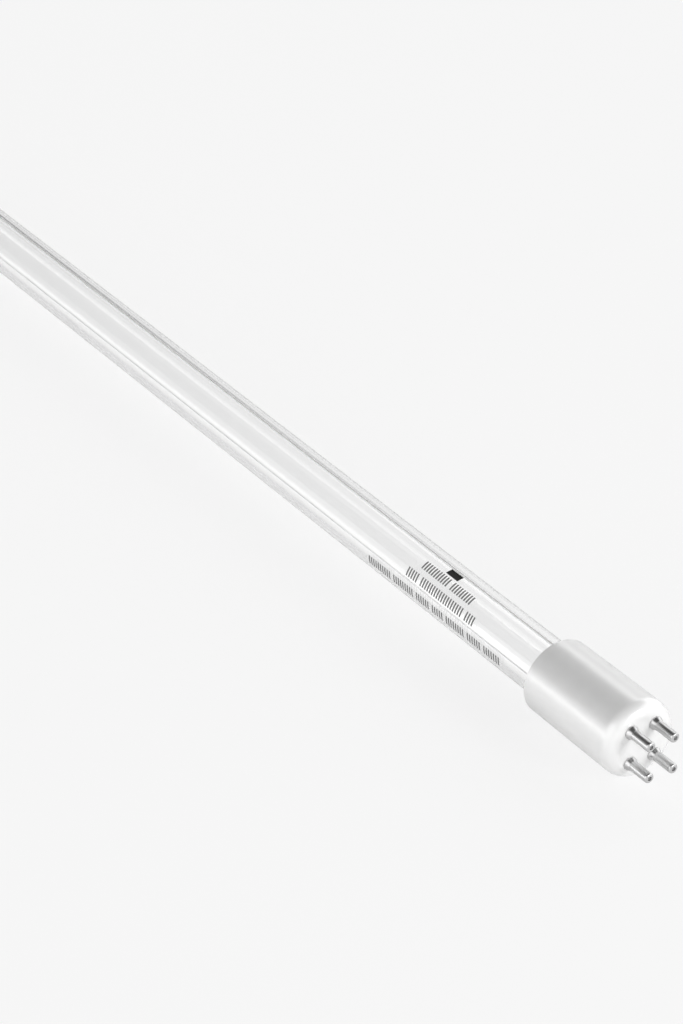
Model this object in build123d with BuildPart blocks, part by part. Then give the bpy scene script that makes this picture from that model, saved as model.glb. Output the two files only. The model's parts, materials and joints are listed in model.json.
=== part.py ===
from build123d import *
import os

# Single-ended germicidal lamp, lying along X.
# Origin: centre of the pin cap's front face. +X: the way the pins point. Millimetres.

# Overall
lamp_length = 436.0  # pin face to the outer face of the end cap

# Quartz tube and its pinch seals
tube_dia = 13.4
tube_wall = 1.4
pinch_width = 12.6
pinch_thickness = 3.0
pinch_corner = 1.1
pinch_length = 8.5
shoulder_length = 4.0
pinch_slit_width = 9.2  # last trace of the bore, where the quartz closes
pinch_slit_height = 0.6
near_pinch_setback = 9.5  # pin face to the tip of the near pinch
far_pinch_setback = 7.0  # end cap's outer face to the tip of the far pinch

# Ceramic caps
cap_wall = 1.6
cap_draft = 0.2  # how much the radius falls from the closed face to the mouth
pin_cap_length = 30.0
pin_cap_floor = 4.0
end_cap_length = 24.0
end_cap_floor = 2.5
cap_face_round = 3.0
cap_mouth_round = 0.8
cap_bore_chamfer = 0.3

# Cement between each cap and the tube
cement_cover = 0.35  # cement left outside the return wires
cement_gap = 0.05
cement_recess = 0.5  # cement stops short of the cap's mouth
cement_shoulder_gap = 0.3

# Contact pins
pin_spacing_y = 6.35
pin_spacing_z = 7.92
pin_dia = 2.35
pin_length = 6.9
pin_shank_dia = 2.0  # slimmer stretch that passes through the cap's floor
pin_bore_dia = 0.8
pin_bore_depth = 4.0  # blind hole in the tail, which takes a wire
pin_tip_round = 0.45
pin_mouth_dia = 1.0  # open end of the hollow pin, closed a little way in
pin_mouth_depth = 0.7
collar_dia = 3.2
collar_rim = 0.4
collar_height = 1.3
pin_tail_dia = 3.3
pin_tail_length = 0.6
pin_hole_gap = 0.05

# Wires
lead_dia = 0.6  # outer leads and return wires
support_dia = 0.5  # filament supports inside the tube
wire_gap = 0.05  # wire to tube, and wire to cement
lead_spacing = 6.0  # between the two leads of one pinch
lead_bend = 1.4
lead_end_gap = 0.2  # wire's end to the bottom of the pin's bore
bend_clearance = 0.9  # straight wire between a bend and a pin's tail
weld_gap = 0.03
return_lap = 2.0  # length along which a return wire lies on its far lead
return_turn_gap = 0.3  # turn of the return wire to the end cap's floor

# Molybdenum foils in the pinches
foil_length = 6.0
foil_width = 2.2
foil_thickness = 0.1
foil_overlap = 1.5
seal_gap = 0.03

# Filaments
filament_reach = 10.5  # pinch to the coil's centre line
coil_wire_dia = 0.38  # wound wire with its coat
coil_leg_dia = 0.3  # bare wire at the coil's two ends
coil_radius = 0.6
coil_pitch = 0.62
coil_turns = 7
coil_leg_overhang = 0.5
clamp_gap = 0.03
hook_reach = 0.55
hook_tail = 0.9

# Mercury
mercury_dia = 1.0
mercury_from_far_end = 44.0
mercury_gap = 0.02

# Places worked out from the sizes above
tube_r = tube_dia / 2
bore_r = tube_r - tube_wall
wire_height = tube_r + wire_gap + lead_dia / 2
cap_bore_r = tube_r + wire_gap + lead_dia + cement_cover
cap_face_r = cap_bore_r + cap_wall
cap_mouth_r = cap_face_r - cap_draft
lead_z = lead_spacing / 2
foil_y = -(max(lead_dia, support_dia) + foil_thickness) / 2 - weld_gap
leg_y = (support_dia + coil_leg_dia) / 2 + clamp_gap
tail_x = -pin_cap_floor - pin_tail_length
bore_end_x = tail_x + pin_bore_depth
near_tip_x = -near_pinch_setback
far_tip_x = -lamp_length + far_pinch_setback
pin_places = [
    (-pin_spacing_y / 2, pin_spacing_z / 2),
    (pin_spacing_y / 2, pin_spacing_z / 2),
    (-pin_spacing_y / 2, -pin_spacing_z / 2),
    (pin_spacing_y / 2, -pin_spacing_z / 2),
]
# Each end of the lamp: its name, the tip of its pinch, and the way out of the tube along X
ends = [("near", near_tip_x, 1), ("far", far_tip_x, -1)]
sides = [("upper", 1), ("lower", -1)]

os.makedirs("parts", exist_ok=True)


def save(piece, label):
    piece.label = label
    export_step(piece, f"parts/{label}.step")


def cross_plane(x):
    # Plane across the lamp: its own x is Y, its own y is Z
    return Plane.YZ.offset(x)


def blade_start(tip_x, out):
    return tip_x - out * pinch_length


def shoulder_start(tip_x, out):
    return blade_start(tip_x, out) - out * shoulder_length


def filament_x(tip_x, out):
    return blade_start(tip_x, out) - out * filament_reach


def foil_start(tip_x, out):
    # Outer end of a foil that lies in the middle of its pinch
    return tip_x - out * (pinch_length - foil_length) / 2


def swept_wire(points, radius, wire_dia):
    with BuildPart() as wire:
        with BuildLine() as path:
            FilletPolyline(*points, radius=radius)
        with BuildSketch(path.line ^ 0):
            Circle(wire_dia / 2)
        sweep()
    return wire.part


def cap_blank(face_x, out, length, floor):
    # Cup turned about the lamp's axis, open towards the tube
    with BuildPart() as cap:
        with BuildSketch(Plane.XY) as section:
            with BuildLine():
                Polyline(
                    (face_x, 0),
                    (face_x, cap_face_r),
                    (face_x - out * length, cap_mouth_r),
                    (face_x - out * length, cap_bore_r),
                    (face_x - out * floor, cap_bore_r),
                    (face_x - out * floor, 0),
                    close=True,
                )
            make_face()
            corners = section.vertices()
            face_corner = corners.sort_by(lambda v: (v.Y, out * v.X))[-1]
            mouth_corner = corners.group_by(lambda v: out * v.X)[0].sort_by(Axis.Y)[-1]
            bore_corner = corners.group_by(lambda v: out * v.X)[0].sort_by(Axis.Y)[0]
            fillet(face_corner, cap_face_round)
            fillet(mouth_corner, cap_mouth_round)
            chamfer(bore_corner, cap_bore_chamfer)
        revolve(axis=Axis.X)
    return cap.part


# Quartz tube: drawn tube with both ends softened and pressed flat on the leads
with BuildPart() as quartz_tube:
    near_shoulder_x = shoulder_start(near_tip_x, 1)
    far_shoulder_x = shoulder_start(far_tip_x, -1)
    straight_length = near_shoulder_x - far_shoulder_x
    with BuildSketch(cross_plane(far_shoulder_x)):
        Circle(tube_r)
    extrude(amount=straight_length)
    for end_name, tip_x, out in ends:
        with BuildSketch(cross_plane(shoulder_start(tip_x, out))):
            Circle(tube_r)
        with BuildSketch(cross_plane(blade_start(tip_x, out))):
            RectangleRounded(pinch_thickness, pinch_width, pinch_corner)
        loft()
        with BuildSketch(cross_plane(blade_start(tip_x, out))):
            RectangleRounded(pinch_thickness, pinch_width, pinch_corner)
        extrude(amount=out * pinch_length)
    with BuildSketch(cross_plane(far_shoulder_x)):
        Circle(bore_r)
    extrude(amount=straight_length, mode=Mode.SUBTRACT)
    for end_name, tip_x, out in ends:
        with BuildSketch(cross_plane(shoulder_start(tip_x, out))):
            Circle(bore_r)
        with BuildSketch(cross_plane(blade_start(tip_x, out))):
            RectangleRounded(pinch_slit_height, pinch_slit_width, pinch_slit_height * 0.45)
        loft(mode=Mode.SUBTRACT)
        seat_depth = (pinch_length - foil_length) / 2 + foil_overlap + seal_gap
        with BuildSketch(cross_plane(tip_x)):
            with Locations((0, lead_z), (0, -lead_z)):
                Circle(lead_dia / 2 + seal_gap)
        extrude(amount=-out * seat_depth, mode=Mode.SUBTRACT)
        with BuildSketch(cross_plane(blade_start(tip_x, out) - out * pinch_slit_height)):
            with Locations((0, lead_z), (0, -lead_z)):
                Circle(support_dia / 2 + seal_gap)
        extrude(amount=out * (seat_depth + pinch_slit_height), mode=Mode.SUBTRACT)
        with BuildSketch(cross_plane(foil_start(tip_x, out) + out * seal_gap)):
            with Locations((foil_y, lead_z), (foil_y, -lead_z)):
                Rectangle(foil_thickness + 2 * seal_gap, foil_width + 2 * seal_gap)
        extrude(amount=-out * (foil_length + 2 * seal_gap), mode=Mode.SUBTRACT)
save(quartz_tube.part, "quartz_tube")

# Pin cap: ceramic cup with four holes through its floor
with BuildPart() as pin_cap:
    add(cap_blank(0, 1, pin_cap_length, pin_cap_floor))
    with BuildSketch(cross_plane(0)):
        with GridLocations(pin_spacing_y, pin_spacing_z, 2, 2):
            Circle(pin_shank_dia / 2 + pin_hole_gap)
    extrude(amount=-pin_cap_floor, mode=Mode.SUBTRACT)
save(pin_cap.part, "pin_cap")

# End cap: the same cup without holes, shorter
with BuildPart() as end_cap:
    add(cap_blank(-lamp_length, -1, end_cap_length, end_cap_floor))
save(end_cap.part, "end_cap")

# Cement rings, each with two grooves that the return wires lie in
cement_rings = [
    ("pin_cap_cement", -pin_cap_length, near_tip_x, 1),
    ("end_cap_cement", -lamp_length + end_cap_length, far_tip_x, -1),
]
for ring_name, mouth_x, tip_x, out in cement_rings:
    ring_start = mouth_x + out * cement_recess
    ring_end = shoulder_start(tip_x, out) - out * cement_shoulder_gap
    with BuildPart() as cement:
        with BuildSketch(cross_plane(ring_start)):
            Circle(cap_bore_r - cement_gap)
            Circle(tube_r + cement_gap, mode=Mode.SUBTRACT)
            with Locations((0, wire_height), (0, -wire_height)):
                Circle(lead_dia / 2 + wire_gap, mode=Mode.SUBTRACT)
            with Locations((0, tube_r), (0, -tube_r)):
                Rectangle(lead_dia, lead_dia + 2 * wire_gap, mode=Mode.SUBTRACT)
        extrude(amount=ring_end - ring_start)
    save(cement.part, ring_name)

# Contact pins: open mouth, tapered collar on the face, tail spread behind the floor with a blind bore
for number, (pin_y, pin_z) in enumerate(pin_places, start=1):
    pin_plane = Plane(origin=(0, pin_y, pin_z), x_dir=(1, 0, 0), z_dir=(0, 0, 1))
    with BuildPart() as contact_pin:
        with BuildSketch(pin_plane) as pin_section:
            with BuildLine():
                Polyline(
                    (bore_end_x, 0),
                    (bore_end_x, pin_bore_dia / 2),
                    (tail_x, pin_bore_dia / 2),
                    (tail_x, pin_tail_dia / 2),
                    (-pin_cap_floor, pin_tail_dia / 2),
                    (-pin_cap_floor, pin_shank_dia / 2),
                    (0, pin_shank_dia / 2),
                    (0, collar_dia / 2),
                    (collar_rim, collar_dia / 2),
                    (collar_height, pin_dia / 2),
                    (pin_length, pin_dia / 2),
                    (pin_length, pin_mouth_dia / 2),
                    (pin_length - pin_mouth_depth, pin_mouth_dia / 2),
                    (pin_length - pin_mouth_depth, 0),
                    close=True,
                )
            make_face()
            tip_corner = pin_section.vertices().group_by(Axis.X)[-1].sort_by(Axis.Y)[-1]
            fillet(tip_corner, pin_tip_round)
        revolve(axis=Axis((0, pin_y, pin_z), (1, 0, 0)))
    save(contact_pin.part, f"contact_pin_{number}")

# Filament: a coil along Z whose two ends run on as straight legs on its +X side
coil_length = coil_pitch * coil_turns
leg_start_z = (coil_length - coil_wire_dia) / 2
leg_end_z = lead_z + support_dia / 2 + coil_leg_overhang
with BuildPart() as coil:
    with BuildLine() as coil_line:
        Helix(coil_pitch, coil_length, coil_radius, center=(0, 0, -coil_length / 2))
    with BuildSketch(coil_line.line ^ 0):
        RegularPolygon(coil_wire_dia / 2, 6)
    sweep(is_frenet=True)
    for side_name, side in sides:
        with BuildSketch(Plane.XY.offset(side * leg_start_z)):
            with Locations((coil_radius, 0)):
                Circle(coil_leg_dia / 2)
        extrude(amount=side * (leg_end_z - leg_start_z))

# Foils, supports and filaments, the same at both ends
for end_name, tip_x, out in ends:
    coil_x = filament_x(tip_x, out)
    for side_name, side in sides:
        with BuildPart() as foil:
            with BuildSketch(cross_plane(foil_start(tip_x, out))):
                with Locations((foil_y, side * lead_z)):
                    Rectangle(foil_thickness, foil_width)
            extrude(amount=-out * foil_length)
        save(foil.part, f"{end_name}_foil_{side_name}")

        support_start = foil_start(tip_x, out) - out * (foil_length - foil_overlap)
        hook_x = coil_x - out * hook_reach
        support_points = [
            (support_start, 0, side * lead_z),
            (hook_x, 0, side * lead_z),
            (hook_x, 2 * leg_y, side * lead_z),
            (hook_x + out * hook_tail, 2 * leg_y, side * lead_z),
        ]
        support = swept_wire(support_points, leg_y * 0.9, support_dia)
        save(support, f"{end_name}_support_{side_name}")

    with BuildPart() as filament:
        with Locations(Location((coil_x, leg_y - coil_radius, 0), (0, 0, 90))):
            add(coil.part)
    save(filament.part, f"{end_name}_filament")

# Outer leads of the near pinch, each bent across to a pin and run up its bore
lead_depth = (pinch_length - foil_length) / 2 + foil_overlap
wire_end_x = bore_end_x - lead_end_gap
bend_in_x = tail_x - bend_clearance
bend_out_x = near_tip_x + bend_clearance
near_lead_pins = {1: pin_places[0], -1: pin_places[2]}
for side_name, side in sides:
    pin_y, pin_z = near_lead_pins[side]
    lead_points = [
        (near_tip_x - lead_depth, 0, side * lead_z),
        (bend_out_x, 0, side * lead_z),
        (bend_in_x, pin_y, pin_z),
        (wire_end_x, pin_y, pin_z),
    ]
    save(swept_wire(lead_points, lead_bend, lead_dia), f"near_lead_{side_name}")

# Outer leads of the far pinch: straight stubs
for side_name, side in sides:
    with BuildPart() as stub:
        with BuildSketch(cross_plane(far_tip_x + lead_depth)):
            with Locations((0, side * lead_z)):
                Circle(lead_dia / 2)
        extrude(amount=-(lead_depth + return_lap))
    save(stub.part, f"far_lead_{side_name}")

# Return wires: from a far stub, round the corner of the pinch, along the tube to a pin
lap_height = lead_z + lead_dia + weld_gap
turn_x = -lamp_length + end_cap_floor + return_turn_gap + lead_dia / 2
return_pins = {1: pin_places[1], -1: pin_places[3]}
for side_name, side in sides:
    pin_y, pin_z = return_pins[side]
    return_points = [
        (far_tip_x - wire_gap, 0, side * lap_height),
        (turn_x, 0, side * lap_height),
        (turn_x, 0, side * wire_height),
        (bend_out_x, 0, side * wire_height),
        (bend_in_x, pin_y, pin_z),
        (wire_end_x, pin_y, pin_z),
    ]
    turn_radius = 0.45 * (wire_height - lap_height)
    bend_radii = [turn_radius, turn_radius, lead_bend, lead_bend]
    save(swept_wire(return_points, bend_radii, lead_dia), f"return_wire_{side_name}")

# Mercury: one drop lying on the bottom of the bore
with BuildPart() as mercury_drop:
    drop_x = -lamp_length + mercury_from_far_end
    with Locations((drop_x, 0, -bore_r + mercury_dia / 2 + mercury_gap)):
        Sphere(mercury_dia / 2)
save(mercury_drop.part, "mercury_drop")
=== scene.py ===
import json
import math

import bmesh
import bpy
from mathutils import Matrix, Vector

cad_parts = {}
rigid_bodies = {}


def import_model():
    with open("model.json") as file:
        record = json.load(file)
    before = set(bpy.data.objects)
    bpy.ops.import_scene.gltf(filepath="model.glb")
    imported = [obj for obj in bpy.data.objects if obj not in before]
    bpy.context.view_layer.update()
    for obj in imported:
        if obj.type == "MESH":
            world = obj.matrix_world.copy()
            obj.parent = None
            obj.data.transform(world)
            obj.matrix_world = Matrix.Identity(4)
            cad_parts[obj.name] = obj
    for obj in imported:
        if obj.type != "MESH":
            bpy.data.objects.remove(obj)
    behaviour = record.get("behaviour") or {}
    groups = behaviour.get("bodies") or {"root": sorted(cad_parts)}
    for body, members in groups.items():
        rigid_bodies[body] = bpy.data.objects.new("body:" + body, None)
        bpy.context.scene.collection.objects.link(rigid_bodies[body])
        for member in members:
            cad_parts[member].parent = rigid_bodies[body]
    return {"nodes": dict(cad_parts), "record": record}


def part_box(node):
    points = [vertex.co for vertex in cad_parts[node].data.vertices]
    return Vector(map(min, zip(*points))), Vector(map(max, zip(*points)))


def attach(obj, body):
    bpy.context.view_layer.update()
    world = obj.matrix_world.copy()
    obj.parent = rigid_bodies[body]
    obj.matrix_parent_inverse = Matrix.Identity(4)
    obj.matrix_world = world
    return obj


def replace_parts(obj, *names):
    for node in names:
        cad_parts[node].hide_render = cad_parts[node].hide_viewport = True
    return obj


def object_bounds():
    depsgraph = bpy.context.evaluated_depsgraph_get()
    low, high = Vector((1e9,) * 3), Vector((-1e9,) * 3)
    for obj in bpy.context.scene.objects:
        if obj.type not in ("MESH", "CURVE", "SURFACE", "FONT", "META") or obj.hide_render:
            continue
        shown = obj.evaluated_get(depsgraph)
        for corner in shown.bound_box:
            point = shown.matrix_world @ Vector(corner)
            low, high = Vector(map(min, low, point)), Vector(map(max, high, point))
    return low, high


for leftover in list(bpy.data.objects):
    bpy.data.objects.remove(leftover)

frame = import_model()
cad_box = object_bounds()
scene = bpy.context.scene
MM = 0.001

# Camera, fitted to the photograph: the lamp's own frame, metres and degrees
PHOTO_WIDTH = 683
PHOTO_HEIGHT = 1024
FOCAL_PIXELS = 3529
FACE_PIXEL_X = 642.5  # centre of the pin cap's face
FACE_PIXEL_Y = 742.9
FACE_DEPTH = 0.7436  # along the camera's view
CAMERA_TURN = 56.46  # from the lamp's axis to the camera's right
CAMERA_TILT = 31.31  # below the horizon
SENSOR_MM = 36
NEAREST_SEEN = 0.01

UP = (0, 0, 1)
LAMP_AHEAD = (1, 0, 0)
PICTURE_LEFT = (0, -1, 0)

# Pale floor: how much of it shows as plain background, and how bright that is, with painted light and
# painted shadow in reflections and through the glass
FLOOR_COLOUR = 0.95
FLOOR_SIZE = 8.0
FLOOR_GLOW = 0.97
FLOOR_GLOW_SHARE = 0.85
FLOOR_MIRRORED_SHARE = (0.1, 1.0)  # in reflections, beside the lamp and further off
FLOOR_MIRRORED_EDGE = (0.004, 0.03)  # distance from the lamp's axis towards the picture's left
FACE_FLOOR_EDGE = (0.002, 0.012)  # in front of the cap's face
PAINTED_FLOOR_LIGHT = 0.6  # painted light: more glow in reflections, where the left box lights the floor
PAINTED_FLOOR_LIGHT_EDGE = (0.03, 0.09)
PAINTED_GLASS_LIGHT = 1.0  # painted light: the same for what shows through the glass
PAINTED_GLASS_LIGHT_EDGE = (0.01, 0.022)
PAINTED_FLOOR_SHADOW = -0.16  # painted shadow: less glow through the glass, from below the lamp towards the picture's left
PAINTED_FLOOR_SHADOW_EDGE = (-0.001, 0.003)
PLAIN_FLOOR_EDGE = (0.55, 0.85)  # distance from the cap's face, past which only background shows

# White tent around the lamp, by direction
TENT_LEVEL = 1.9
CEILING_LEVEL = 0.07
CEILING_EDGE = (0.58, 0.8)  # sine of the height above the horizon
DIM_SIDE_DIRECTION = (-0.999, 0.044, 0)
DIM_SIDE_SHARE = 0.05
DIM_SIDE_EDGE = (0.5, 0.85)
DARK_CARD_DIRECTION = (-0.573, -0.443, 0.690)
DARK_CARD_SHARE = 0.2
DARK_CARD_EDGE = (0.86, 0.91)
NEAR_SIDE_SHARE = 0.5
NEAR_SIDE_EDGE = (0.2, 0.8)
BACKGROUND = 0.913
BACKGROUND_EDGE = (0.02, 0.19)  # sine of the height up to which glass shows the plain background

LIGHTS_AIM = (-0.06, 0, 0)  # on the tube, just behind the pin cap
SOFTBOXES = (  # name, direction and distance from the aim, width, height, radiance
    ("left_box", (-0.549, -0.836, 0.04), 1.2, 0.46, 0.14, 2.6),
    ("back_box", (-0.623, 0.544, 0.562), 1.2, 0.3, 0.3, 1.2),
    ("face_box", (0.88, 0.3, 0.37), 1.0, 0.3, 0.3, 12.0),
)

# Sizes of the quartz tube that its box can't tell
TUBE_WALL = 1.4 * MM
PINCH_THICKNESS = 3.0 * MM
PINCH_WIDTH = 12.6 * MM
PINCH_LENGTH = 8.5 * MM
PINCH_SQUARENESS = 6  # more is squarer, and ROUND is an ellipse
SHOULDER_LENGTH = 4.0 * MM
SHOULDER_STEPS = 12
SLIT_WIDTH = 9.2 * MM
SLIT_HEIGHT = 0.6 * MM
SLIT_SQUARENESS = 3
ROUND = 2
STRAIGHT_STARTS = (0.5 * MM, 2 * MM)  # rings past the shoulder that keep the tube's shading even
TUBE_SEGMENTS = 192
SHARP_ANGLE = math.radians(35)

# Print on the tube: plain strokes and a plain mark
INK_LIFT = 0.02 * MM
INK_THICKNESS = 0.01 * MM
INK_STEPS = 4
STROKE_WIDTH = 0.45 * MM
STROKE_PITCH = 0.9 * MM
STROKE_HEIGHT = 2.2 * MM
PRINT_ROWS = (  # start from the cap's face in mm, angle from +Y towards +Z, strokes in each group
    (-57.5, 120, (9, 11)),
    (-53.5, 150, (4, 18, 5)),
    (-42.5, 186, (7, 6, 8, 5, 6, 9, 10)),
)
MARK_START = -65.2 * MM
MARK_LENGTH = 4.4 * MM
MARK_HEIGHT = 1.8 * MM
MARK_ANGLE = 99

# Finishes
TINT_CLOUD_GRAINS = 3  # width of the glaze's clouds of tint, in grains of its surface
CHALK_DETAIL = 5.0
CHALK_RAGGEDNESS = 0.65


def make_camera():
    turn = math.radians(CAMERA_TURN)
    tilt = math.radians(CAMERA_TILT)
    right = Vector((math.cos(turn), math.sin(turn), 0))
    level = Vector((-math.sin(turn), math.cos(turn), 0))
    ahead = level * math.cos(tilt) - Vector(UP) * math.sin(tilt)
    up = level * math.sin(tilt) + Vector(UP) * math.cos(tilt)
    metres_per_pixel = FACE_DEPTH / FOCAL_PIXELS
    place = -ahead * FACE_DEPTH
    place -= right * (FACE_PIXEL_X - PHOTO_WIDTH / 2) * metres_per_pixel
    place += up * (FACE_PIXEL_Y - PHOTO_HEIGHT / 2) * metres_per_pixel
    data = bpy.data.cameras.new("photo_camera")
    data.sensor_width = SENSOR_MM
    data.lens = FOCAL_PIXELS * SENSOR_MM / PHOTO_HEIGHT
    data.clip_start = NEAREST_SEEN
    camera = bpy.data.objects.new("photo_camera", data)
    facing = Matrix((right, up, -ahead)).transposed().to_4x4()
    camera.matrix_world = Matrix.Translation(place) @ facing
    scene.collection.objects.link(camera)
    scene.camera = camera


make_camera()


# Nodes
def new_material(name):
    material = bpy.data.materials.new(name)
    material.use_nodes = True
    tree = material.node_tree
    return material, tree, tree.nodes["Principled BSDF"]


def add_node(tree, kind, **values):
    node = tree.nodes.new(kind)
    for key, value in values.items():
        node.inputs[key.replace("_", " ")].default_value = value
    return node


def combine(tree, operation, first, second):
    """Math node on two values, each a number or another node's output."""
    node = tree.nodes.new("ShaderNodeMath")
    node.operation = operation
    for socket, value in zip(node.inputs, (first, second)):
        if isinstance(value, float):
            socket.default_value = value
        else:
            tree.links.new(value, socket)
    return node.outputs["Value"]


def dot_with(tree, vector, direction):
    node = tree.nodes.new("ShaderNodeVectorMath")
    node.operation = "DOT_PRODUCT"
    node.inputs[1].default_value = Vector(direction).normalized()
    tree.links.new(vector, node.inputs[0])
    return node.outputs["Value"]


def length_of(tree, vector):
    node = tree.nodes.new("ShaderNodeVectorMath")
    node.operation = "LENGTH"
    tree.links.new(vector, node.inputs[0])
    return node.outputs["Value"]


def soft_step(tree, value, edge, low, high):
    """Goes smoothly from low to high while the value crosses the edge."""
    start, end = edge
    node = add_node(tree, "ShaderNodeMapRange", From_Min=start, From_Max=end, To_Min=low, To_Max=high)
    node.interpolation_type = "SMOOTHSTEP"
    tree.links.new(value, node.inputs["Value"])
    return node.outputs["Result"]


def blend_shaders(tree, factor, first, second, output):
    mix = tree.nodes.new("ShaderNodeMixShader")
    tree.links.new(factor, mix.inputs["Fac"])
    tree.links.new(first, mix.inputs[1])
    tree.links.new(second, mix.inputs[2])
    tree.links.new(mix.outputs["Shader"], tree.nodes[output].inputs["Surface"])


def noise(tree, size, stretch=(1, 1, 1), detail=3.0, roughness=0.5):
    """Noise on object coordinates, with features of about size metres, stretched along X, Y and Z."""
    coordinates = tree.nodes.new("ShaderNodeTexCoord")
    mapping = add_node(tree, "ShaderNodeMapping", Scale=[1 / (size * times) for times in stretch])
    texture = add_node(tree, "ShaderNodeTexNoise", Scale=1.0, Detail=detail, Roughness=roughness)
    tree.links.new(coordinates.outputs["Object"], mapping.inputs["Vector"])
    tree.links.new(mapping.outputs["Vector"], texture.inputs["Vector"])
    return texture.outputs["Fac"]


def spread(tree, source, low, high, start=0.3, end=0.7):
    """Maps a noise from start..end to low..high."""
    node = add_node(tree, "ShaderNodeMapRange", From_Min=start, From_Max=end, To_Min=low, To_Max=high)
    tree.links.new(source, node.inputs["Value"])
    return node.outputs["Result"]


def blend_colours(tree, factor, first, second):
    node = tree.nodes.new("ShaderNodeMix")
    node.data_type = "RGBA"
    factor_socket = next(socket for socket in node.inputs if socket.type == "VALUE")
    first_socket, second_socket = [socket for socket in node.inputs if socket.type == "RGBA"]
    first_socket.default_value = (*first, 1)
    second_socket.default_value = (*second, 1)
    tree.links.new(factor, factor_socket)
    return next(socket for socket in node.outputs if socket.type == "RGBA")


def paint(tree, shader, pattern, dark, light):
    """Base colour that follows a pattern from dark to light."""
    colour = blend_colours(tree, spread(tree, pattern, 0, 1), dark, light)
    tree.links.new(colour, shader.inputs["Base Color"])


def add_bump(tree, shader, source, distance):
    bump = add_node(tree, "ShaderNodeBump", Strength=1.0, Distance=distance)
    tree.links.new(source, bump.inputs["Height"])
    tree.links.new(bump.outputs["Normal"], shader.inputs["Normal"])


# Materials
def glazed_ceramic(name, dark, light, roughness, grain, bump, coat_roughness, coat_ior):
    material, tree, shader = new_material(name)
    paint(tree, shader, noise(tree, TINT_CLOUD_GRAINS * grain), dark, light)
    tree.links.new(spread(tree, noise(tree, grain), *roughness), shader.inputs["Roughness"])
    shader.inputs["Specular IOR Level"].default_value = 1.0
    shader.inputs["Coat Weight"].default_value = 1.0
    shader.inputs["Coat Roughness"].default_value = coat_roughness
    shader.inputs["Coat IOR"].default_value = coat_ior
    add_bump(tree, shader, noise(tree, grain), bump)
    return material


def clear_quartz(name, tint, shadow, ior):
    """Clear glass whose shadow is a pale one of its own."""
    material, tree, shader = new_material(name)
    shader.inputs["Base Color"].default_value = (*tint, 1)
    shader.inputs["Roughness"].default_value = 0.0
    shader.inputs["IOR"].default_value = ior
    shader.inputs["Transmission Weight"].default_value = 1.0
    shadow_ray = tree.nodes.new("ShaderNodeLightPath").outputs["Is Shadow Ray"]
    clear = add_node(tree, "ShaderNodeBsdfTransparent", Color=(*shadow, 1))
    blend_shaders(tree, shadow_ray, shader.outputs["BSDF"], clear.outputs["BSDF"], "Material Output")
    return material


def metal(name, dark, light, roughness, grain, stretch, bump, metallic=1.0):
    material, tree, shader = new_material(name)
    streaks = noise(tree, grain, stretch=stretch)
    paint(tree, shader, streaks, dark, light)
    tree.links.new(spread(tree, streaks, *roughness), shader.inputs["Roughness"])
    shader.inputs["Metallic"].default_value = metallic
    add_bump(tree, shader, streaks, bump)
    return material


def chalk(name, dark, light, roughness, grain, bump):
    material, tree, shader = new_material(name)
    grains = noise(tree, grain, detail=CHALK_DETAIL, roughness=CHALK_RAGGEDNESS)
    paint(tree, shader, grains, dark, light)
    tree.links.new(spread(tree, grains, *roughness), shader.inputs["Roughness"])
    add_bump(tree, shader, grains, bump)
    return material


QUARTZ = clear_quartz(
    "clear_fused_quartz",
    tint=(0.993, 0.993, 0.993),
    shadow=(0.9, 0.9, 0.9),
    ior=1.458,
)
CERAMIC = glazed_ceramic(
    "white_glazed_ceramic",
    dark=(0.855, 0.855, 0.851),
    light=(0.885, 0.885, 0.882),
    roughness=(0.34, 0.4),
    grain=1.4 * MM,
    bump=0.01 * MM,
    coat_roughness=0.27,
    coat_ior=2.0,
)
GREY_INK = chalk(
    "fired_grey_ink",
    dark=(0.15, 0.15, 0.15),
    light=(0.23, 0.23, 0.23),
    roughness=(0.75, 0.95),
    grain=0.3 * MM,
    bump=0.003 * MM,
)
BLACK_INK = chalk(
    "fired_black_ink",
    dark=(0.012, 0.012, 0.012),
    light=(0.03, 0.03, 0.03),
    roughness=(0.75, 0.95),
    grain=0.3 * MM,
    bump=0.003 * MM,
)
CEMENT = chalk(
    "cap_cement",
    dark=(0.74, 0.73, 0.70),
    light=(0.84, 0.83, 0.80),
    roughness=(0.75, 0.95),
    grain=0.4 * MM,
    bump=0.08 * MM,
)
PIN_NICKEL = metal(
    "bright_nickel",
    dark=(0.5, 0.5, 0.5),
    light=(0.64, 0.64, 0.64),
    roughness=(0.38, 0.28),
    grain=0.2 * MM,
    stretch=(25, 1, 1),
    bump=0.002 * MM,
)
WIRE_NICKEL = metal(
    "matte_nickel_wire",
    dark=(0.84, 0.84, 0.84),
    light=(0.92, 0.92, 0.92),
    roughness=(0.6, 0.5),
    grain=0.1 * MM,
    stretch=(40, 1, 1),
    bump=0.003 * MM,
    metallic=0.45,
)
MOLYBDENUM = metal(
    "rolled_molybdenum",
    dark=(0.42, 0.43, 0.45),
    light=(0.56, 0.57, 0.59),
    roughness=(0.42, 0.28),
    grain=0.2 * MM,
    stretch=(12, 1, 1),
    bump=0.004 * MM,
)
COIL_COAT = chalk(
    "coated_tungsten",
    dark=(0.60, 0.60, 0.58),
    light=(0.84, 0.84, 0.82),
    roughness=(0.75, 0.95),
    grain=0.12 * MM,
    bump=0.04 * MM,
)
MERCURY = metal(
    "liquid_mercury",
    dark=(0.76, 0.77, 0.78),
    light=(0.82, 0.83, 0.84),
    roughness=(0.03, 0.01),
    grain=0.5 * MM,
    stretch=(1, 1, 1),
    bump=0.0005 * MM,
)
MATERIAL_OF_SLOT = {
    "quartz": QUARTZ,
    "cap_ceramic": CERAMIC,
    "cap_cement": CEMENT,
    "pin_metal": PIN_NICKEL,
    "nickel_wire": WIRE_NICKEL,
    "molybdenum": MOLYBDENUM,
    "coated_tungsten": COIL_COAT,
    "mercury": MERCURY,
}

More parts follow.
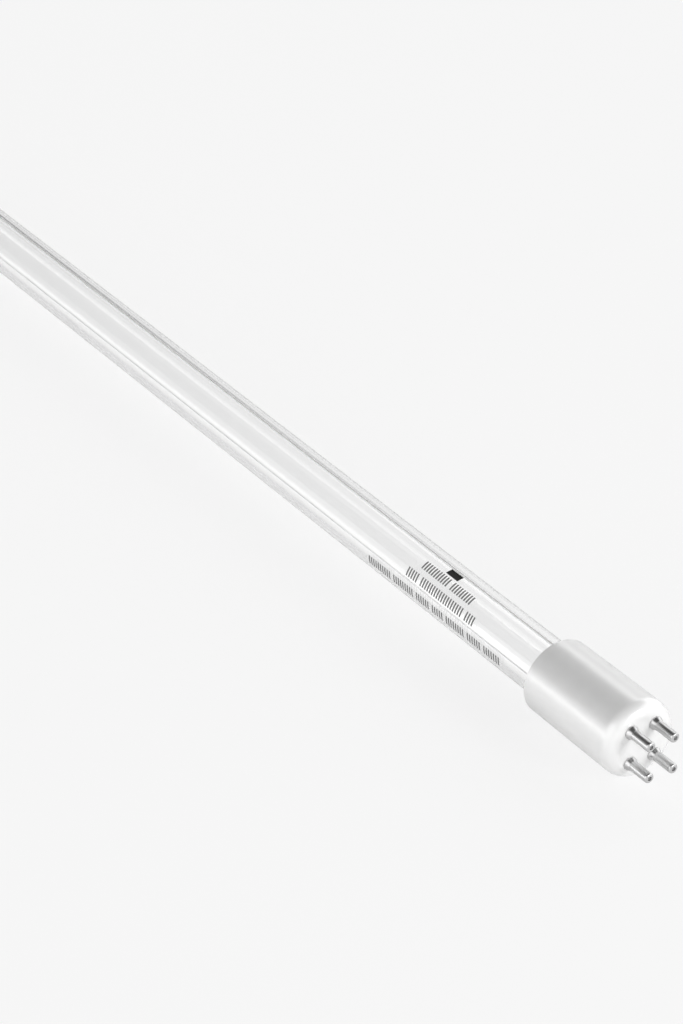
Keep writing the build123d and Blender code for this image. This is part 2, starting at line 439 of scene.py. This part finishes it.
for part in frame["record"]["subparts"]:
    node = frame["nodes"][part["node"]]
    for material_slot in node.material_slots:
        material_slot.material = MATERIAL_OF_SLOT[part["material_slot"]]


# Quartz tube
def finish_piece(bm, name, material):
    """Smooth faces with sharp edges, as a piece that rides with the lamp."""
    for face in bm.faces:
        face.smooth = True
    for edge in bm.edges:
        if len(edge.link_faces) == 2 and edge.calc_face_angle() > SHARP_ANGLE:
            edge.smooth = False
    mesh = bpy.data.meshes.new(name)
    bm.to_mesh(mesh)
    bm.free()
    mesh.materials.append(material)
    piece = bpy.data.objects.new(name, mesh)
    scene.collection.objects.link(piece)
    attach(piece, "root")
    return piece


def oblong(angle, half_y, half_z, squareness):
    """Point of a rounded oblong across the lamp."""
    across = math.cos(angle)
    along = math.sin(angle)
    y = math.copysign(abs(across) ** (ROUND / squareness), across) * half_y
    z = math.copysign(abs(along) ** (ROUND / squareness), along) * half_z
    return y, z


def place_ring(ring, angles, station):
    x, half_y, half_z, squareness = station
    for vert, angle in zip(ring, angles):
        vert.co = (x, *oblong(angle, half_y, half_z, squareness))


def joined_vert(vert, candidates):
    """The one of the candidates that an edge joins to this vertex."""
    neighbours = (edge.other_vert(vert) for edge in vert.link_edges)
    return next(neighbour for neighbour in neighbours if neighbour in candidates)


def lofted_skin(bm, stations):
    """Closed skin through stations along X, each with its x, half sizes in Y and Z, and squareness."""
    ring = bmesh.ops.create_circle(bm, cap_ends=False, segments=TUBE_SEGMENTS, radius=1)["verts"]
    angles = [math.atan2(vert.co.y, vert.co.x) for vert in ring]
    edges = list({edge for vert in ring for edge in vert.link_edges})
    first_edges = edges
    place_ring(ring, angles, stations[0])
    for station in stations[1:]:
        made = bmesh.ops.extrude_edge_only(bm, edges=edges)["geom"]
        edges = [part for part in made if isinstance(part, bmesh.types.BMEdge)]
        new_verts = {part for part in made if isinstance(part, bmesh.types.BMVert)}
        ring = [joined_vert(vert, new_verts) for vert in ring]
        place_ring(ring, angles, station)
    for loop in (first_edges, edges):
        bmesh.ops.edgeloop_fill(bm, edges=loop)


def shoulder_stations(radius, half_y, half_z, squareness):
    """One end from its tip inwards: the flat section widens through the shoulder to the round tube."""
    stations = []
    for step in range(SHOULDER_STEPS + 1):
        done = step / SHOULDER_STEPS
        ease = done * done * (3 - 2 * done)
        stations.append((
            PINCH_LENGTH + SHOULDER_LENGTH * done,
            half_y + (radius - half_y) * ease,
            half_z + (radius - half_z) * ease,
            squareness + (ROUND - squareness) * ease,
        ))
    for start in STRAIGHT_STARTS:
        stations.append((PINCH_LENGTH + SHOULDER_LENGTH + start, radius, radius, ROUND))
    return stations


tube_low, tube_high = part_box("quartz_tube")
TUBE_RADIUS = (tube_high.z - tube_low.z) / 2


def both_ends(stations):
    """The stations of one end, placed at the far end and mirrored at the near end."""
    far = [(tube_low.x + distance, *section) for distance, *section in stations]
    near = [(tube_high.x - distance, *section) for distance, *section in reversed(stations)]
    return far + near


def make_quartz_tube():
    """The tube's skin and its bore, both closed: the bore's faces point into the bore."""
    bm = bmesh.new()
    pinch = (PINCH_THICKNESS / 2, PINCH_WIDTH / 2, PINCH_SQUARENESS)
    lofted_skin(bm, both_ends([(0, *pinch), *shoulder_stations(TUBE_RADIUS, *pinch)]))
    skin_faces = list(bm.faces)
    bmesh.ops.recalc_face_normals(bm, faces=skin_faces)
    slit = (SLIT_HEIGHT / 2, SLIT_WIDTH / 2, SLIT_SQUARENESS)
    lofted_skin(bm, both_ends(shoulder_stations(TUBE_RADIUS - TUBE_WALL, *slit)))
    bore_faces = list(set(bm.faces) - set(skin_faces))
    bmesh.ops.recalc_face_normals(bm, faces=bore_faces)
    bmesh.ops.reverse_faces(bm, faces=bore_faces)
    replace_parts(finish_piece(bm, "clear_tube", QUARTZ), "quartz_tube")


make_quartz_tube()


# Print
def ink_patch(bm, start, length, middle_angle, height):
    """Curved patch just off the tube, from start towards the far end, about an angle from +Y to +Z."""
    reach = TUBE_RADIUS + INK_LIFT
    half = height / reach / 2
    first_angle = middle_angle - half
    y = reach * math.cos(first_angle)
    z = reach * math.sin(first_angle)
    ends = [bm.verts.new((x, y, z)) for x in (start, start - length)]
    edge = bm.edges.new(ends)
    bmesh.ops.spin(
        bm, geom=[edge, *ends], cent=(0, 0, 0), axis=LAMP_AHEAD, angle=2 * half, steps=INK_STEPS
    )


def finish_ink(bm, name, material):
    bmesh.ops.recalc_face_normals(bm, faces=bm.faces)
    bmesh.ops.solidify(bm, geom=list(bm.faces), thickness=INK_THICKNESS)
    bmesh.ops.recalc_face_normals(bm, faces=bm.faces)
    finish_piece(bm, name, material)


def make_print_rows():
    """Rows of plain even strokes, in groups with one stroke's gap between them."""
    for number, (start, angle, groups) in enumerate(PRINT_ROWS, 1):
        bm = bmesh.new()
        place = start * MM
        for strokes in groups:
            for _ in range(strokes):
                ink_patch(bm, place, STROKE_WIDTH, math.radians(angle), STROKE_HEIGHT)
                place -= STROKE_PITCH
            place -= STROKE_PITCH
        finish_ink(bm, f"print_row_{number}", GREY_INK)


def make_print_mark():
    bm = bmesh.new()
    ink_patch(bm, MARK_START, MARK_LENGTH, math.radians(MARK_ANGLE), MARK_HEIGHT)
    finish_ink(bm, "print_mark", BLACK_INK)


make_print_rows()
make_print_mark()


# Floor, world and lights
def floor_share(tree, camera_ray, glossy_ray, glass_ray, place):
    """How much of the floor shows as background, to each kind of ray and at each place."""
    away = length_of(tree, place)
    seen_share = soft_step(tree, away, PLAIN_FLOOR_EDGE, FLOOR_GLOW_SHARE, 1.0)
    seen_directly = combine(tree, "MULTIPLY", camera_ray, seen_share)
    seen_in_glass = combine(tree, "MULTIPLY", glass_ray, FLOOR_GLOW_SHARE)
    to_left = dot_with(tree, place, PICTURE_LEFT)
    beside = soft_step(tree, to_left, FLOOR_MIRRORED_EDGE, *FLOOR_MIRRORED_SHARE)
    ahead = dot_with(tree, place, LAMP_AHEAD)
    before = soft_step(tree, ahead, FACE_FLOOR_EDGE, *FLOOR_MIRRORED_SHARE)
    mirrored = combine(tree, "MULTIPLY", glossy_ray, combine(tree, "MAXIMUM", beside, before))
    seen = combine(tree, "MAXIMUM", seen_directly, seen_in_glass)
    return combine(tree, "MAXIMUM", seen, mirrored)


def floor_level(tree, camera_ray, glossy_ray, glass_ray, place):
    """How bright that background is, with painted light where the left box lights the floor and
    painted shadow below the lamp.
    """
    to_left = dot_with(tree, place, PICTURE_LEFT)
    # Painted light where the left box lights the floor, in reflections and through the glass
    painted_light = soft_step(tree, to_left, PAINTED_FLOOR_LIGHT_EDGE, 0.0, PAINTED_FLOOR_LIGHT)
    # Painted shadow: less glow through the glass below the lamp
    painted_shadow = soft_step(tree, to_left, PAINTED_FLOOR_SHADOW_EDGE, 0.0, PAINTED_FLOOR_SHADOW)
    painted_glass_light = soft_step(tree, to_left, PAINTED_GLASS_LIGHT_EDGE, 0.0, PAINTED_GLASS_LIGHT)
    plain = soft_step(tree, length_of(tree, place), PLAIN_FLOOR_EDGE, 0.0, BACKGROUND - FLOOR_GLOW)
    mirrored = combine(tree, "MULTIPLY", glossy_ray, painted_light)
    through_glass = combine(tree, "MULTIPLY", glass_ray, combine(tree, "ADD", painted_shadow, painted_glass_light))
    seen = combine(tree, "MULTIPLY", camera_ray, plain)
    reflected = combine(tree, "ADD", mirrored, through_glass)
    return combine(tree, "ADD", combine(tree, "ADD", reflected, FLOOR_GLOW), seen)


def floor_material():
    material, tree, shader = new_material("pale_floor")
    shader.inputs["Base Color"].default_value = (FLOOR_COLOUR, FLOOR_COLOUR, FLOOR_COLOUR, 1)
    shader.inputs["Roughness"].default_value = 1.0
    shader.inputs["Specular IOR Level"].default_value = 0.0
    path = tree.nodes.new("ShaderNodeLightPath")
    rays = [path.outputs[name] for name in ("Is Camera Ray", "Is Glossy Ray", "Is Transmission Ray")]
    place = tree.nodes.new("ShaderNodeTexCoord").outputs["Object"]
    glow = add_node(tree, "ShaderNodeEmission", Color=(1, 1, 1, 1))
    tree.links.new(floor_level(tree, *rays, place), glow.inputs["Strength"])
    share = floor_share(tree, *rays, place)
    blend_shaders(tree, share, shader.outputs["BSDF"], glow.outputs["Emission"], "Material Output")
    return material


def make_floor():
    bm = bmesh.new()
    bmesh.ops.create_grid(bm, x_segments=1, y_segments=1, size=FLOOR_SIZE / 2)
    bmesh.ops.translate(bm, verts=bm.verts, vec=(0, 0, cad_box[0].z))
    mesh = bpy.data.meshes.new("floor")
    bm.to_mesh(mesh)
    bm.free()
    mesh.materials.append(floor_material())
    floor = bpy.data.objects.new("floor", mesh)
    scene.collection.objects.link(floor)


def dimmed_towards(tree, direction, aim, edge, share):
    """1 over most of the tent, softly down to a share where the direction comes close to the aim."""
    return soft_step(tree, dot_with(tree, direction, aim), edge, 1.0, share)


def make_world():
    """White tent under a dark ceiling, dimmer on the lamp's two end sides, with one dark card."""
    world = bpy.data.worlds.new("studio")
    scene.world = world
    world.use_nodes = True
    tree = world.node_tree
    tent = tree.nodes["Background"]
    direction = tree.nodes.new("ShaderNodeTexCoord").outputs["Generated"]
    height = dot_with(tree, direction, UP)
    walls = soft_step(tree, height, CEILING_EDGE, TENT_LEVEL, CEILING_LEVEL)
    dim_side = dimmed_towards(tree, direction, DIM_SIDE_DIRECTION, DIM_SIDE_EDGE, DIM_SIDE_SHARE)
    dark_card = dimmed_towards(tree, direction, DARK_CARD_DIRECTION, DARK_CARD_EDGE, DARK_CARD_SHARE)
    near_side = dimmed_towards(tree, direction, LAMP_AHEAD, NEAR_SIDE_EDGE, NEAR_SIDE_SHARE)
    shades = combine(tree, "MULTIPLY", near_side, combine(tree, "MULTIPLY", dim_side, dark_card))
    tree.links.new(combine(tree, "MULTIPLY", walls, shades), tent.inputs["Strength"])
    tent.inputs["Color"].default_value = (1, 1, 1, 1)
    path = tree.nodes.new("ShaderNodeLightPath")
    near_horizon = soft_step(tree, height, BACKGROUND_EDGE, 1.0, 0.0)
    glass_ray = combine(tree, "MULTIPLY", path.outputs["Is Transmission Ray"], near_horizon)
    seen = combine(tree, "MAXIMUM", path.outputs["Is Camera Ray"], glass_ray)
    plain = add_node(tree, "ShaderNodeBackground", Color=(1, 1, 1, 1), Strength=BACKGROUND)
    blend_shaders(tree, seen, tent.outputs["Background"], plain.outputs["Background"], "World Output")


def softbox(name, direction, distance, width, height, radiance):
    """Rectangular light that faces the aim: at a radiance of 1 it looks plain white."""
    data = bpy.data.lights.new(name, "AREA")
    data.shape = "RECTANGLE"
    data.size = width
    data.size_y = height
    data.energy = radiance * math.pi * width * height
    light = bpy.data.objects.new(name, data)
    away = Vector(direction).normalized()
    turn = away.to_track_quat("Z", "Y").to_matrix().to_4x4()
    light.matrix_world = Matrix.Translation(Vector(LIGHTS_AIM) + away * distance) @ turn
    scene.collection.objects.link(light)


make_floor()
make_world()
for box in SOFTBOXES:
    softbox(*box)

scene.view_settings.view_transform = "Standard"
